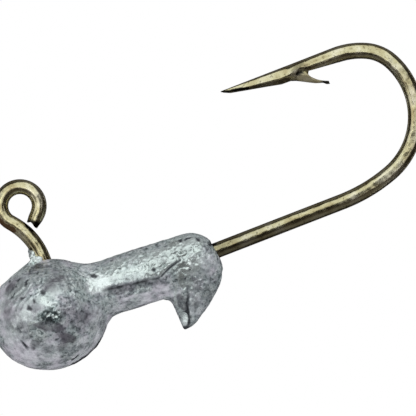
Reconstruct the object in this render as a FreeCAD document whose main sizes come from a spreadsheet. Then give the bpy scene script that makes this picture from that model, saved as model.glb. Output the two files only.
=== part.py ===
"""Jig head: a 90 degree jig hook with a round lead head cast on its shank.

Frame, in millimetres: the origin is the centre of the line eye, +X runs along the shank towards
the bend, +Z is the side of the hook point, and the hook lies in the XZ plane.
"""
import FreeCAD, Part
import math
import os
import re

import Sketcher

SIZES = (
    # the wire and its eye
    ("wire_dia", 1.05, "diameter of the hook wire"),
    ("eye_bore", 1.49, "clear width inside the eye, as bent"),
    ("mandrel_mark", 0.02, "depth of the flat band that the bending mandrel leaves inside the eye"),
    ("eye_tail", 0.8, "straight end of the wire, where the ring has sprung open"),
    ("eye_turn", 252.0, "degrees of ring, from that end round to the neck"),
    ("eye_lean", 38.0, "degrees off upright at which the neck leaves the ring"),
    ("neck_run", 0.3, "straight stretch below the ring"),
    ("neck_radius", 4.5, "gentle bend that brings the neck upright"),
    # the shank
    ("eye_height", 7.47, "eye centre above the shank axis"),
    ("heel_radius", 2.0, "90 degree bend inside the lead, on the wire axis"),
    ("shank_length", 20.0, "eye centre to the start of the bend, along the shank"),
    # the bend, four tangent arcs: lead-in, round, crown and run-out
    ("gap", 9.22, "shank axis to point axis"),
    ("lead_in_radius", 11.2, "radius of the first arc"),
    ("lead_in_turn", 19.0, "degrees of the first arc"),
    ("round_turn", 98.0, "degrees of the second arc, whose radius follows from the gap"),
    ("crown_radius", 2.8, "radius of the third arc"),
    ("crown_turn", 38.0, "degrees of the third arc"),
    ("run_out_radius", 4.9, "radius of the last arc, which turns what is left of 180 degrees"),
    ("forge_start", 0.5, "start of the bend to the start of the pressed flats"),
    ("forge_length", 8.0, "length of the pressed flats, along the shank"),
    ("forge_depth", 0.07, "how deep each side is pressed at the far end of the flats"),
    # the point and its barb
    ("tip_reach", 15.16, "eye centre to the tip of the point, along the shank"),
    ("tip_width", 0.06, "thickness left at the tip"),
    ("spear_length", 4.3, "length of the bevels that sharpen the point"),
    ("last_bevel", 0.7, "length of the steeper bevel at the very tip"),
    ("last_width", 0.32, "thickness of the point where the last bevel starts"),
    ("barb_root", 4.7, "tip of the point to the front root of the barb"),
    ("barb_length", 2.3, "front root of the barb to the barb's tip, along the point"),
    ("barb_drop", 1.58, "barb tip below the axis of the point"),
    ("barb_width", 0.9, "width of the sliver that the barb is cut as"),
    ("barb_notch", 1.25, "front root of the barb to the notch behind it"),
    ("scoop_depth", 0.22, "how deep the cut that raised the barb goes into the wire"),
    ("scoop_length", 2.1, "how far that cut runs out behind the notch"),
    # the lead head
    ("ball_back", 0.76, "centre of the ball in front of the eye centre, towards the nose"),
    ("casting_rise", 0.09, "axis of the casting above the shank axis"),
    ("ball_dia", 7.26, "diameter of the ball across the shank"),
    ("ball_stretch", 0.64, "how much longer than round the ball is"),
    ("neck_hollow", 1.9, "radius of the hollow between the ball and the collar"),
    ("collar_dia", 3.5, "diameter of the bait collar where its rear rounding starts"),
    ("collar_draft", 1.3, "degrees that the collar widens towards the ball"),
    ("collar_end", 11.85, "centre of the ball to the rear face of the collar"),
    ("collar_round", 1.2, "rounding of the collar's rear edge"),
    ("gate_height", 3.5, "centre of the ball to the flat where the gate was clipped off"),
    ("gate_lean", 22.0, "degrees that the gate flat leans towards the nose"),
    # the keeper, a spur under the collar, by its level cuts, which are kites
    ("keeper_front", 7.9, "centre of the ball to the front edge of the keeper"),
    ("root_depth", 1.1, "root cut below the axis of the casting"),
    ("root_length", 3.9, "length of the root cut"),
    ("root_width", 1.9, "width of the root cut"),
    ("brow_depth", 1.9, "second cut below that axis"),
    ("brow_length", 3.7, "length of the second cut"),
    ("brow_width", 1.6, "width of the second cut"),
    ("waist_depth", 3.3, "third cut below that axis"),
    ("waist_length", 2.15, "length of the third cut"),
    ("waist_width", 1.1, "width of the third cut"),
    ("spur_depth", 4.32, "keeper tip below that axis"),
    ("spur_length", 0.35, "length of the keeper's tip"),
    ("spur_width", 0.3, "width of the keeper's tip"),
    ("shoulder_share", 0.33, "widest place of each cut, as a share of its length from the front"),
)

doc = FreeCAD.newDocument("jig_head")
sheet = doc.addObject("Spreadsheet::Sheet", "Sizes")
size = {}
for row, (alias, value, meaning) in enumerate(SIZES, start=1):
    sheet.set(f"A{row}", str(value))
    sheet.setAlias(f"A{row}", alias)
    sheet.set(f"B{row}", meaning)
    size[alias] = value
doc.recompute()

# how a sketch names the places on an edge, its own horizontal axis and its origin
START, END, CENTRE = range(1, 4)
LEVEL_AXIS = -1
ORIGIN = (LEVEL_AXIS, START)

POINT_AXIS = "gap - eye_height"
BARB_TILT = "atan((barb_drop - wire_dia / 2) / barb_length)"
GATE_LEAN = "gate_lean * 1 deg"


def sized(text):
    """The expression with each size's name read from the sheet."""
    return re.sub(r"[a-z_]+", lambda word: f"Sizes.{word[0]}" if word[0] in size else word[0], text)


def drive(item, **expressions):
    """Bind properties of a feature; a double underscore in a name stands for a dot."""
    for path, text in expressions.items():
        item.setExpression(path.replace("__", "."), sized(text))


def origin_plane(body, role):
    """One of a body's own origin planes."""
    return next(item for item in body.Origin.OriginFeatures if item.Role == role)


def add_sketch(body, name, role, raised="0"):
    """A sketch on an origin plane of its own body, raised off that plane if need be."""
    sketch = body.newObject("Sketcher::SketchObject", name)
    sketch.AttachmentSupport = [(origin_plane(body, role), "")]
    sketch.MapMode = "FlatFace"
    drive(sketch, AttachmentOffset__Base__z=raised)
    return sketch


def bind(sketch, name, text, *constraint):
    """A named constraint whose value the sheet drives."""
    index = sketch.addConstraint(Sketcher.Constraint(*constraint))
    sketch.renameConstraint(index, name)
    sketch.setExpression(f"Constraints.{name}", sized(text))


def draw_outline(sketch, name, corners):
    """A closed outline of straight edges, each corner placed by two expressions."""
    first = sketch.GeometryCount
    count = len(corners)
    rough = [math.tau * i / count for i in range(count + 1)]
    spots = [FreeCAD.Vector(math.cos(turn), math.sin(turn), 0) for turn in rough]
    for i in range(count):
        sketch.addGeometry(Part.LineSegment(spots[i], spots[(i + 1) % count]), False)
    for i, (across, up) in enumerate(corners):
        edge = first + i
        following = first + (i + 1) % count
        sketch.addConstraint(Sketcher.Constraint("Coincident", edge, END, following, START))
        bind(sketch, f"{name}_{i}_across", across, "DistanceX", *ORIGIN, edge, START, spots[i].x)
        bind(sketch, f"{name}_{i}_up", up, "DistanceY", *ORIGIN, edge, START, spots[i].y)


def cut(body, name, sketch, length=None):
    """A pocket on both sides of its sketch: right through, or over one length."""
    pocket = body.newObject("PartDesign::Pocket", name)
    pocket.Profile = sketch
    pocket.Midplane = True
    if length:
        drive(pocket, Length=length)
    else:
        pocket.Type = "ThroughAll"
    return pocket


# The hook: one bronzed high-carbon wire, bent cold, its bend pressed flat, its point ground and its
# barb raised with a chisel cut.
hook = doc.addObject("PartDesign::Body", "hook_wire")

eye_radius = (size["eye_bore"] + size["wire_dia"]) / 2
last_turn = 180 - size["lead_in_turn"] - size["round_turn"] - size["crown_turn"]


class Route:
    """Lines and tangent arcs laid end to end, each starting where the last one ended."""

    def __init__(self, sketch, start, heading):
        self.sketch = sketch
        self.spot = FreeCAD.Vector(*start, 0)
        self.heading = heading
        self.last_end = None

    def join(self, index, start, end):
        """Make one edge run on smoothly from the edge before it."""
        if self.last_end:
            self.sketch.addConstraint(Sketcher.Constraint("Tangent", *self.last_end, index, start))
        self.last_end = (index, end)
        return index

    def line(self, length):
        """A straight run."""
        way = math.radians(self.heading)
        start = self.spot
        self.spot = start + FreeCAD.Vector(math.cos(way), math.sin(way), 0) * length
        index = self.sketch.addGeometry(Part.LineSegment(start, self.spot), False)
        return self.join(index, START, END)

    def arc(self, radius, turn):
        """An arc to the left, or to the right where turn is negative."""
        side = math.copysign(90, turn)
        out = math.radians(self.heading - side)
        end = out + math.radians(turn)
        centre = self.spot - FreeCAD.Vector(math.cos(out), math.sin(out), 0) * radius
        circle = Part.Circle(centre, FreeCAD.Vector(0, 0, 1), radius)
        self.spot = centre + FreeCAD.Vector(math.cos(end), math.sin(end), 0) * radius
        self.heading += turn
        index = self.sketch.addGeometry(Part.ArcOfCircle(circle, *sorted((out, end))), False)
        return self.join(index, START, END) if turn > 0 else self.join(index, END, START)


def draw_wire_path(sketch):
    """The wire's centre line, from the sheared end of the eye to the tip of the point."""
    ring_start = 180 + size["eye_lean"] - size["eye_turn"]
    across, up = math.cos(math.radians(ring_start)), math.sin(math.radians(ring_start))
    sheared_end = (
        eye_radius * across + size["eye_tail"] * up,
        eye_radius * up - size["eye_tail"] * across,
    )
    route = Route(sketch, sheared_end, ring_start + 90)
    tail = route.line(size["eye_tail"])
    eye = route.arc(eye_radius, size["eye_turn"])
    neck = route.line(size["neck_run"])
    neck_bend = route.arc(size["neck_radius"], -size["eye_lean"])
    upright = route.line(size["eye_height"] + route.spot.y - size["heel_radius"])
    heel = route.arc(size["heel_radius"], 90)
    shank = route.line(size["shank_length"] - route.spot.x)
    lead_in = route.arc(size["lead_in_radius"], size["lead_in_turn"])
    turns = [size["lead_in_turn"], size["round_turn"], size["crown_turn"], last_turn]
    levels = [math.cos(math.radians(sum(turns[:i]))) for i in range(5)]
    rise = [levels[i] - levels[i + 1] for i in range(4)]
    radii = [size["lead_in_radius"], 0, size["crown_radius"], size["run_out_radius"]]
    others = sum(radius * step for radius, step in zip(radii, rise))
    round_arc = route.arc((size["gap"] - others) / rise[1], size["round_turn"])
    crown = route.arc(size["crown_radius"], size["crown_turn"])
    run_out = route.arc(size["run_out_radius"], last_turn)
    spear = route.line(route.spot.x - size["tip_reach"])

    sketch.addConstraint(Sketcher.Constraint("Coincident", eye, CENTRE, *ORIGIN))
    for line, direction in ((upright, "Vertical"), (shank, "Horizontal"), (spear, "Horizontal")):
        sketch.addConstraint(Sketcher.Constraint(direction, line))
    for name, arc, radius in (
        ("eye_radius", eye, "(eye_bore + wire_dia) / 2"),
        ("neck_radius", neck_bend, "neck_radius"),
        ("heel_radius", heel, "heel_radius"),
        ("lead_in_radius", lead_in, "lead_in_radius"),
        ("crown_radius", crown, "crown_radius"),
        ("run_out_radius", run_out, "run_out_radius"),
    ):
        bind(sketch, name, radius, "Radius", arc, sketch.Geometry[arc].Radius)
    for name, arc in (
        ("eye_turn", eye),
        ("eye_lean", neck_bend),
        ("lead_in_turn", lead_in),
        ("round_turn", round_arc),
        ("crown_turn", crown),
    ):
        bind(sketch, name, f"{name} * 1 deg", "Angle", arc, math.radians(size[name]))
    bind(sketch, "eye_tail", "eye_tail", "Distance", tail, size["eye_tail"])
    bind(sketch, "neck_run", "neck_run", "Distance", neck, size["neck_run"])
    bind(sketch, "eye_height", "-eye_height", "DistanceY", *ORIGIN, shank, START, -size["eye_height"])
    bind(sketch, "shank_length", "shank_length", "DistanceX", *ORIGIN, shank, END, size["shank_length"])
    bind(sketch, "gap", "gap", "DistanceY", shank, END, spear, END, size["gap"])
    bind(sketch, "tip_reach", "tip_reach", "DistanceX", *ORIGIN, spear, END, size["tip_reach"])


wire_path = add_sketch(hook, "wire_path", "XZ_Plane")
draw_wire_path(wire_path)
doc.recompute()

wire_section = hook.newObject("Sketcher::SketchObject", "wire_section")
wire_section.AttachmentSupport = [(wire_path, "Edge1")]
wire_section.MapMode = "NormalToEdge"
section_circle = Part.Circle(FreeCAD.Vector(), FreeCAD.Vector(0, 0, 1), size["wire_dia"] / 2)
section = wire_section.addGeometry(section_circle, False)
wire_section.addConstraint(Sketcher.Constraint("Coincident", section, CENTRE, *ORIGIN))
bind(wire_section, "wire_dia", "wire_dia", "Diameter", section, size["wire_dia"])

# the wire, swept along its path with all its bends
bent_wire = hook.newObject("PartDesign::AdditivePipe", "bent_wire")
bent_wire.Profile = wire_section
bent_wire.Spine = (wire_path, [f"Edge{i + 1}" for i in range(wire_path.GeometryCount)])
doc.recompute()

# the band that the bending mandrel rubs flat inside the eye
mandrel = add_sketch(hook, "mandrel", "XZ_Plane")
mandrel_circle = Part.Circle(FreeCAD.Vector(), FreeCAD.Vector(0, 0, 1), size["eye_bore"] / 2)
band = mandrel.addGeometry(mandrel_circle, False)
mandrel.addConstraint(Sketcher.Constraint("Coincident", band, CENTRE, *ORIGIN))
bind(mandrel, "bore", "eye_bore + 2 * mandrel_mark", "Diameter", band, size["eye_bore"])
cut(hook, "mandrel_band", mandrel)

# the bend is pressed between two dies, harder towards its far end
dies = add_sketch(hook, "forging_dies", "XY_Plane")
for side, sign in (("left", ""), ("right", "-")):
    near = "shank_length + forge_start"
    far = f"{near} + forge_length"
    corners = [
        (near, f"{sign}wire_dia / 2"),
        (far, f"{sign}(wire_dia / 2 - forge_depth)"),
        (far, f"{sign}wire_dia"),
        (near, f"{sign}wire_dia"),
    ]
    draw_outline(dies, side, corners)
cut(hook, "forged_flats", dies)

# the point is ground from below and from both sides, and its top line stays straight
under_bevel = add_sketch(hook, "under_bevel", "XZ_Plane")
bevel_end = "tip_reach + spear_length"
below = f"{POINT_AXIS} - wire_dia"
top = f"{POINT_AXIS} + wire_dia / 2"
bevel_corners = [
    (bevel_end, f"{POINT_AXIS} - wire_dia / 2"),
    (bevel_end, below),
    ("tip_reach - wire_dia", below),
    ("tip_reach - wire_dia", f"{top} - tip_width"),
    ("tip_reach", f"{top} - tip_width"),
    ("tip_reach + last_bevel", f"{top} - last_width"),
]
draw_outline(under_bevel, "bevel", bevel_corners)
cut(hook, "ground_underside", under_bevel)

side_bevel = add_sketch(hook, "side_bevel", "XY_Plane", raised=POINT_AXIS)
for side, sign in (("left", ""), ("right", "-")):
    corners = [
        ("tip_reach", f"{sign}tip_width / 2"),
        ("tip_reach + last_bevel", f"{sign}last_width / 2"),
        (bevel_end, f"{sign}wire_dia / 2"),
        (bevel_end, f"{sign}wire_dia"),
        ("tip_reach", f"{sign}wire_dia"),
    ]
    draw_outline(side_bevel, side, corners)
cut(hook, "ground_sides", side_bevel, length="2 * wire_dia")

# the chisel that raises the barb leaves a slanted cut behind it
scoop = add_sketch(hook, "scoop", "XZ_Plane")
notch = "tip_reach + barb_root + barb_notch"
scoop_corners = [
    (notch, f"{POINT_AXIS} - wire_dia / 2 + scoop_depth"),
    (f"{notch} + scoop_length", f"{POINT_AXIS} - wire_dia / 2"),
    (f"{notch} + scoop_length", below),
    (notch, below),
]
draw_outline(scoop, "scoop", scoop_corners)
cut(hook, "barb_cut", scoop)

# The barb is a sliver of the wire's own round underside, lifted off towards the bend: a slanted
# round bar, kept only where it lies inside the barb's side outline.
barb_start = "tip_reach + barb_root - wire_dia / 2"
barb_bar = doc.addObject("Part::Cylinder", "barb_bar")
barb_bar.Placement.Rotation = FreeCAD.Rotation(FreeCAD.Vector(0, 1, 0), 90)
drive(
    barb_bar,
    Radius="barb_width / 2",
    Height="2 * barb_length",
    Placement__Base__x=f"{barb_start} + barb_width / 2 * sin({BARB_TILT})",
    Placement__Base__z=f"{POINT_AXIS} - wire_dia / 2 + wire_dia / 2 * tan({BARB_TILT})"
    f" + barb_width / 2 * cos({BARB_TILT})",
    Placement__Rotation__Angle=f"90 deg + {BARB_TILT}",
)
barb_side = doc.addObject("Sketcher::SketchObject", "barb_side")
barb_side.Placement.Rotation = FreeCAD.Rotation(FreeCAD.Vector(1, 0, 0), 90)
barb_corners = [
    (barb_start, POINT_AXIS),
    (barb_start, f"{POINT_AXIS} - wire_dia / 2"),
    ("tip_reach + barb_root + barb_length", f"{POINT_AXIS} - barb_drop"),
    (notch, f"{POINT_AXIS} - wire_dia / 2 + scoop_depth"),
    (notch, POINT_AXIS),
]
draw_outline(barb_side, "barb", barb_corners)
barb_wedge = doc.addObject("Part::Extrusion", "barb_wedge")
barb_wedge.Base = barb_side
barb_wedge.DirMode = "Normal"
barb_wedge.Solid = True
barb_wedge.Symmetric = True
drive(barb_wedge, LengthFwd="wire_dia")
barb = doc.addObject("Part::MultiCommon", "barb")
barb.Shapes = [barb_bar, barb_wedge]

jig_hook = doc.addObject("Part::MultiFuse", "jig_hook")
jig_hook.Shapes = [hook, barb]
doc.recompute()

# The head: lead cast round the hook in a two-part mould that closes on the hook's plane. The ball
# runs into a collar that a soft bait is pushed over, and the keeper spur holds the bait there.
casting = doc.addObject("PartDesign::Body", "lead_casting")
drive(casting, Placement__Base__x="-ball_back", Placement__Base__z="casting_rise - eye_height")


def draw_head_profile(sketch):
    """Half the outline of the ball, hollow and collar, above the axis that it turns about."""
    ball = size["ball_dia"] / 2
    hollow = size["neck_hollow"]
    collar = size["collar_dia"] / 2
    rear = size["collar_round"]
    swing = math.degrees(math.acos((collar + hollow) / (ball + hollow)))
    route = Route(sketch, (-size["ball_stretch"] / 2 - ball, 0), 90)
    nose = route.arc(ball, -90)
    crest = route.line(size["ball_stretch"])
    back = route.arc(ball, -swing)
    neck = route.arc(hollow, swing)
    bait_seat = route.line(size["collar_end"] - rear - route.spot.x)
    edge = route.arc(rear, -90)
    rear_face = route.line(collar - rear)
    axis = sketch.addGeometry(Part.LineSegment(route.spot, sketch.Geometry[nose].EndPoint), False)

    sketch.addConstraint(Sketcher.Constraint("Coincident", rear_face, END, axis, START))
    sketch.addConstraint(Sketcher.Constraint("Coincident", axis, END, nose, END))
    for index, place in ((axis, START), (axis, END), (nose, CENTRE)):
        sketch.addConstraint(Sketcher.Constraint("PointOnObject", index, place, LEVEL_AXIS))
    for index, direction in ((crest, "Horizontal"), (rear_face, "Vertical")):
        sketch.addConstraint(Sketcher.Constraint(direction, index))
    sketch.addConstraint(Sketcher.Constraint("Equal", nose, back))
    for name, text, arc, radius in (
        ("ball", "ball_dia / 2", nose, ball),
        ("hollow", "neck_hollow", neck, hollow),
        ("rear_edge", "collar_round", edge, rear),
    ):
        bind(sketch, name, text, "Radius", arc, radius)
    bind(sketch, "stretch", "ball_stretch", "Distance", crest, size["ball_stretch"])
    front = -size["ball_stretch"] / 2
    bind(sketch, "middle", "-ball_stretch / 2", "DistanceX", *ORIGIN, nose, CENTRE, front)
    bind(sketch, "collar", "collar_dia / 2", "DistanceY", *ORIGIN, bait_seat, END, collar)
    bind(sketch, "draft", "-collar_draft * 1 deg", "Angle", bait_seat, 0)
    bind(sketch, "collar_end", "collar_end", "DistanceX", *ORIGIN, rear_face, END, size["collar_end"])


head_profile = add_sketch(casting, "head_profile", "XZ_Plane")
draw_head_profile(head_profile)
turned_head = casting.newObject("PartDesign::Revolution", "turned_head")
turned_head.Profile = head_profile
turned_head.ReferenceAxis = (head_profile, ["H_Axis"])
doc.recompute()

# the keeper, lofted through its level cuts
cuts = []
for level in ("root", "brow", "waist", "spur"):
    outline = add_sketch(casting, f"keeper_{level}", "XY_Plane", raised=f"-{level}_depth")
    length = f"{level}_length"
    width = f"{level}_width"
    shoulder = f"keeper_front + shoulder_share * {length}"
    kite = [
        ("keeper_front", "0"),
        (shoulder, f"-{width} / 2"),
        (f"keeper_front + {length}", "0"),
        (shoulder, f"{width} / 2"),
    ]
    draw_outline(outline, "kite", kite)
    cuts.append(outline)
keeper = casting.newObject("PartDesign::AdditiveLoft", "keeper")
keeper.Profile = cuts[0]
keeper.Sections = cuts[1:]
keeper.Ruled = True
doc.recompute()

# The gate flat: a square block laid on the ball, its underside gate_height from the ball's centre.
gate = casting.newObject("PartDesign::SubtractiveBox", "gate_cut")
gate.AttachmentSupport = [(origin_plane(casting, "XY_Plane"), "")]
gate.MapMode = "FlatFace"
gate.AttachmentOffset.Rotation = FreeCAD.Rotation(FreeCAD.Vector(0, -1, 0), 1)
drive(
    gate,
    Length="ball_dia",
    Width="ball_dia",
    Height="ball_dia",
    AttachmentOffset__Rotation__Angle=GATE_LEAN,
    AttachmentOffset__Base__x=f"-gate_height * sin({GATE_LEAN}) - ball_dia / 2 * cos({GATE_LEAN})",
    AttachmentOffset__Base__y="-ball_dia / 2",
    AttachmentOffset__Base__z=f"gate_height * cos({GATE_LEAN}) - ball_dia / 2 * sin({GATE_LEAN})",
)
doc.recompute()

# The hook lies in the casting, so the lead is cut away where the wire is.
lead_head = doc.addObject("Part::Cut", "lead_head")
lead_head.Base = casting
lead_head.Tool = jig_hook
doc.recompute()

for item in doc.Objects:
    if "Invalid" in item.State or "Error" in item.State:
        raise RuntimeError(f"{item.Name} failed: {item.State}")
pieces = [jig_hook, lead_head]
for piece in pieces:
    if piece.Shape.isNull() or not piece.Shape.isValid() or len(piece.Shape.Solids) != 1:
        raise RuntimeError(f"{piece.Label} isn't one valid solid")

os.makedirs("parts", exist_ok=True)
for piece in pieces:
    piece.Shape.exportStep(f"parts/{piece.Label}.step")
    box = piece.Shape.BoundBox
    print(
        f"{piece.Label}: {piece.Shape.Volume:.2f} mm3,"
        f" X {box.XMin:.2f} to {box.XMax:.2f}, Y {box.YMin:.2f} to {box.YMax:.2f},"
        f" Z {box.ZMin:.2f} to {box.ZMax:.2f}"
    )
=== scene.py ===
import math

import bmesh
import bpy
import numpy as np
from mathutils import Matrix, Vector, noise


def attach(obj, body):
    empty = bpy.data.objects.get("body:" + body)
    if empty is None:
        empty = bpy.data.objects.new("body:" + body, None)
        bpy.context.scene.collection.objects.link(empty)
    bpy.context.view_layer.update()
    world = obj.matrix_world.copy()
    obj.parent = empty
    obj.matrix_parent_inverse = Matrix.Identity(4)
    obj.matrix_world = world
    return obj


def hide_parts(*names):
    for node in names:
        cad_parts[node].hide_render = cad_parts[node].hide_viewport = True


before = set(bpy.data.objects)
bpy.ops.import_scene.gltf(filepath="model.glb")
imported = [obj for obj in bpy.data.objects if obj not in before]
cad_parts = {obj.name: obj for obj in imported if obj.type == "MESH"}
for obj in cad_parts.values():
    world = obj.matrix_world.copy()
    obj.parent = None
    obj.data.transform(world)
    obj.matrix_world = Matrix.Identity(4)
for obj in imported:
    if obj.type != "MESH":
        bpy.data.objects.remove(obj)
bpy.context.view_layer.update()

# --- Camera ---------------------------------------------------------------------------
# A long lens looks square onto the plane of the hook, rolled so that the shank climbs
# to the right. The frame cuts the outer edge of the eye, of the ball and of the bend.
mm = 0.001
picture_width = 27.6 * mm
lens_length, sensor_width = 650.0, 36.0
shank_climb = math.radians(21.2)
aim = Vector((11.58, 0, -4.64)) * mm
lens_data = bpy.data.cameras.new("long_lens")
lens_data.lens = lens_length
lens_data.sensor_width = sensor_width
lens_data.clip_start = 0.05
camera = bpy.data.objects.new("long_lens", lens_data)
stand_off = Vector((0, -picture_width * lens_length / sensor_width, 0))
camera.matrix_world = (
    Matrix.Translation(aim + stand_off)
    @ Matrix.Rotation(shank_climb, 4, "Y")
    @ Matrix.Rotation(math.radians(90), 4, "X")
)
bpy.context.scene.collection.objects.link(camera)
bpy.context.scene.camera = camera


# --- Hook: the bent wire --------------------------------------------------------------
# One piece of 1.05 mm high-carbon steel wire: cut, bent round a mandrel into the line eye,
# bent square at the ball and round to the point, pressed flat in the bend, then ground
# to a point, cut for its barb, hardened and bronzed. All sizes here are in millimetres.
wire_radius = 0.525
# the eye, to the middle of its wire, the degrees it turns through, and the neck's lean
eye_radius, eye_turn, eye_lean = 1.27, 252.0, 38.0
tail = 0.8
neck_run, neck_radius = 0.3, 4.5
# the shank lies this far below the eye's centre, and the heel that leads to it is tight
shank_drop, shank_end, heel_radius = 7.47, 20.0, 2.0
# the bend is four arcs of radius and degrees, up to the straight run of the point
bend_arcs = ((11.2, 19), (4.92, 98), (2.8, 38), (4.9, 25))
tip_x, point_z = 15.16, 1.75
# the mesh has a ring of this many corners every 0.05 mm along the wire
ring_step, ring_corners = 0.05, 56


def lay_wire(spot, heading, runs):
    """Walks along runs of (length, degrees turned): the path, headings and distances."""
    path, headings, far = [np.array(spot)], [math.radians(heading)], [0.0]
    for length, turned in runs:
        count = max(1, round(length / ring_step))
        part = math.radians(turned) / count
        chord = length / count * (math.sin(part / 2) / (part / 2) if turned else 1)
        for _ in range(count):
            way = headings[-1] + part / 2
            path.append(path[-1] + chord * np.array((math.cos(way), math.sin(way))))
            headings.append(headings[-1] + part)
            far.append(far[-1] + length / count)
    return np.array(path), np.array(headings), np.array(far)


def arc(radius, turned):
    """A run of wire bent to this radius, through this many degrees."""
    return radius * math.radians(abs(turned)), turned


# the eye is centred on the origin, and the wire starts with a short straight tail
eye_start = 180 + eye_lean - eye_turn
outward = np.array((math.cos(math.radians(eye_start)), math.sin(math.radians(eye_start))))
start = eye_radius * outward - tail * np.array((-outward[1], outward[0]))
first_heading = eye_start + 90


def wire_end(runs):
    """Where the wire has got to, as (x, z), after these runs."""
    return lay_wire(start, first_heading, runs)[0][-1]


runs = [(tail, 0), arc(eye_radius, eye_turn), (neck_run, 0), arc(neck_radius, -eye_lean)]
eye_end = tail + runs[1][0]
runs.append((shank_drop + wire_end(runs)[1] - heel_radius, 0))
runs.append(arc(heel_radius, 90))
runs.append((shank_end - wire_end(runs)[0], 0))
runs += [arc(radius, turned) for radius, turned in bend_arcs]
runs.append((wire_end(runs)[0] - tip_x, 0))
path, headings, far = lay_wire(start, first_heading, runs)


def ease(value, low, high):
    """0 below low and 1 above high, with a smooth step between them."""
    share = np.clip((np.asarray(value, float) - low) / (high - low), 0, 1)
    return share * share * (3 - 2 * share)


def below(values, limit, rounding):
    """Holds values under a limit, with a rounded corner where they meet it."""
    return -np.logaddexp(-values / rounding, -limit / rounding) * rounding


# every ring starts round; "inner" points to the inside of the bends, "across" along Y.
# The tight bend of the eye has drawn its wire a little thinner
drawn_out, neck_blend = 0.04, 1.5
corner = np.arange(ring_corners) * 2 * math.pi / ring_corners
from_end = far[-1] - far
thinned = 1 - drawn_out * (1 - ease(far, eye_end, eye_end + neck_blend))
radius = wire_radius * thinned[:, None]
inner = radius * np.cos(corner)
across = radius * np.sin(corner)

# the mandrel rubs a band inside the eye, whose edges are barely rounded
flat_edge = 0.012
band_depth, band_start, band_fade = 0.03, 0.5, 0.3
in_eye = ease(far, band_start, 2 * band_start) * (1 - ease(far, eye_end - band_fade, eye_end))
band = wire_radius - band_depth * in_eye[:, None]
inner = np.where(in_eye[:, None] > 0, below(inner, band, flat_edge), inner)

# the cutter pinches the wire's end, bevels its outer side and pushes it inward
pinch_depth, pinch_run = 0.1, 0.45
pinch = 1 - ease(far, 0, pinch_run)[:, None]
inner = np.where(inner > 0, inner * (1 - pinch_depth * pinch), inner)
bevel_height, bevel_slope, bevel_edge = 0.28, 0.9, 0.02
bevel = bevel_height + bevel_slope * far[:, None]
inner = np.where(bevel < wire_radius, -below(-inner, bevel, bevel_edge), inner)
push, push_run = 0.13, 0.9
inner += push * (1 - ease(far, 0, push_run))[:, None] ** 2

# two dies press the sides of the bend flat, and the wire spreads in its own plane. The
# flats lean over by up to 26 degrees past the crown of the bend, and hardly before it
press_depth, spread = 0.04, 0.5
press_start, press_full = shank_end - 0.6, shank_end + 6
pressed = press_depth * ease(path[:, 0], press_start, press_full)[:, None]
lean_places = (6, 8, 12.2, 15.5, 19, 22)
flat_lean = np.radians(np.interp(from_end, lean_places, (26, 20, 6, 0, -2, 0)))[:, None]
facing = np.abs(across) * np.cos(flat_lean) - inner * np.sin(flat_lean)
excess = facing - below(facing, wire_radius - pressed, flat_edge)
excess = np.where(pressed > 0.05 * press_depth, excess, 0)
across -= np.sign(across) * excess * np.cos(flat_lean)
inner = (inner + excess * np.sin(flat_lean)) * (1 + spread * pressed)

# the point is ground with a flat on each side and a hollow keel below. The wire's round
# back is left as a narrow strip along the top, which stays straight to the tip. Its
# height and half width are given at places from the tip, its profile from top to keel
height_places = (0, 0.15, 0.57, 2.1, 3.0, 3.95, 4.4)
width_places = (0, 0.2, 0.8, 2.3, 4.3)
height = np.interp(from_end, height_places, (0.05, 0.16, 0.35, 0.66, 0.84, 1.04, 1.05))
half_width = np.interp(from_end, width_places, (0.02, 0.08, 0.19, 0.37, 0.52))
down = 1 - np.abs((corner + math.pi) % (2 * math.pi) - math.pi) / math.pi
ground_profile = (0, 0.06, 0.13, 0.19, 0.56, 0.63, 0.95, 1)
facet_depth = np.interp(down, ground_profile, (0, 0.03, 0.10, 0.16, 0.60, 0.67, 0.97, 1))
facet_width = np.interp(down, ground_profile, (0, 0.32, 0.56, 0.68, 1.0, 0.9, 0.12, 0))
ground_run, round_again = 4.3, 5.05
ground = 1 - ease(from_end, ground_run, round_again)[:, None]
ground_inner = -wire_radius + height[:, None] * facet_depth
ground_across = half_width[:, None] * facet_width * np.sign(np.sin(corner))
inner = inner * (1 - ground) + ground_inner * ground
across = across * (1 - ground) + ground_across * ground

# behind the barb the chisel leaves a slanted cut below and a hollow in each side
path_x, path_z = path[:, 0, None], path[:, 1, None]
notch_x, notch_depth, notch_run, notch_edge = 21.1, 0.2, 2.1, 0.01
notch_wall, spear_run = 0.12, 9
on_spear = from_end[:, None] < spear_run
notch_slope = np.clip(1 - (path_x - notch_x) / notch_run, 0, 1)
scoop = notch_depth * notch_slope * ease(path_x, notch_x - notch_wall, notch_x)
cut_away = on_spear & (scoop > 0.003)
inner = np.where(cut_away, below(inner, wire_radius - scoop, notch_edge), inner)
dip_x, dip_z, dip_length, dip_height, dip_depth = 20.6, 1.52, 0.3, 0.24, 0.3
level = point_z - inner
dip = np.exp(-((path_x - dip_x) / dip_length) ** 2 - ((level - dip_z) / dip_height) ** 2)
across = across * (1 - dip_depth * dip * on_spear)

inward_x, inward_z = -np.sin(headings)[:, None], np.cos(headings)[:, None]
rings = np.stack([path_x + inward_x * inner, across, path_z + inward_z * inner], axis=2)

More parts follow.
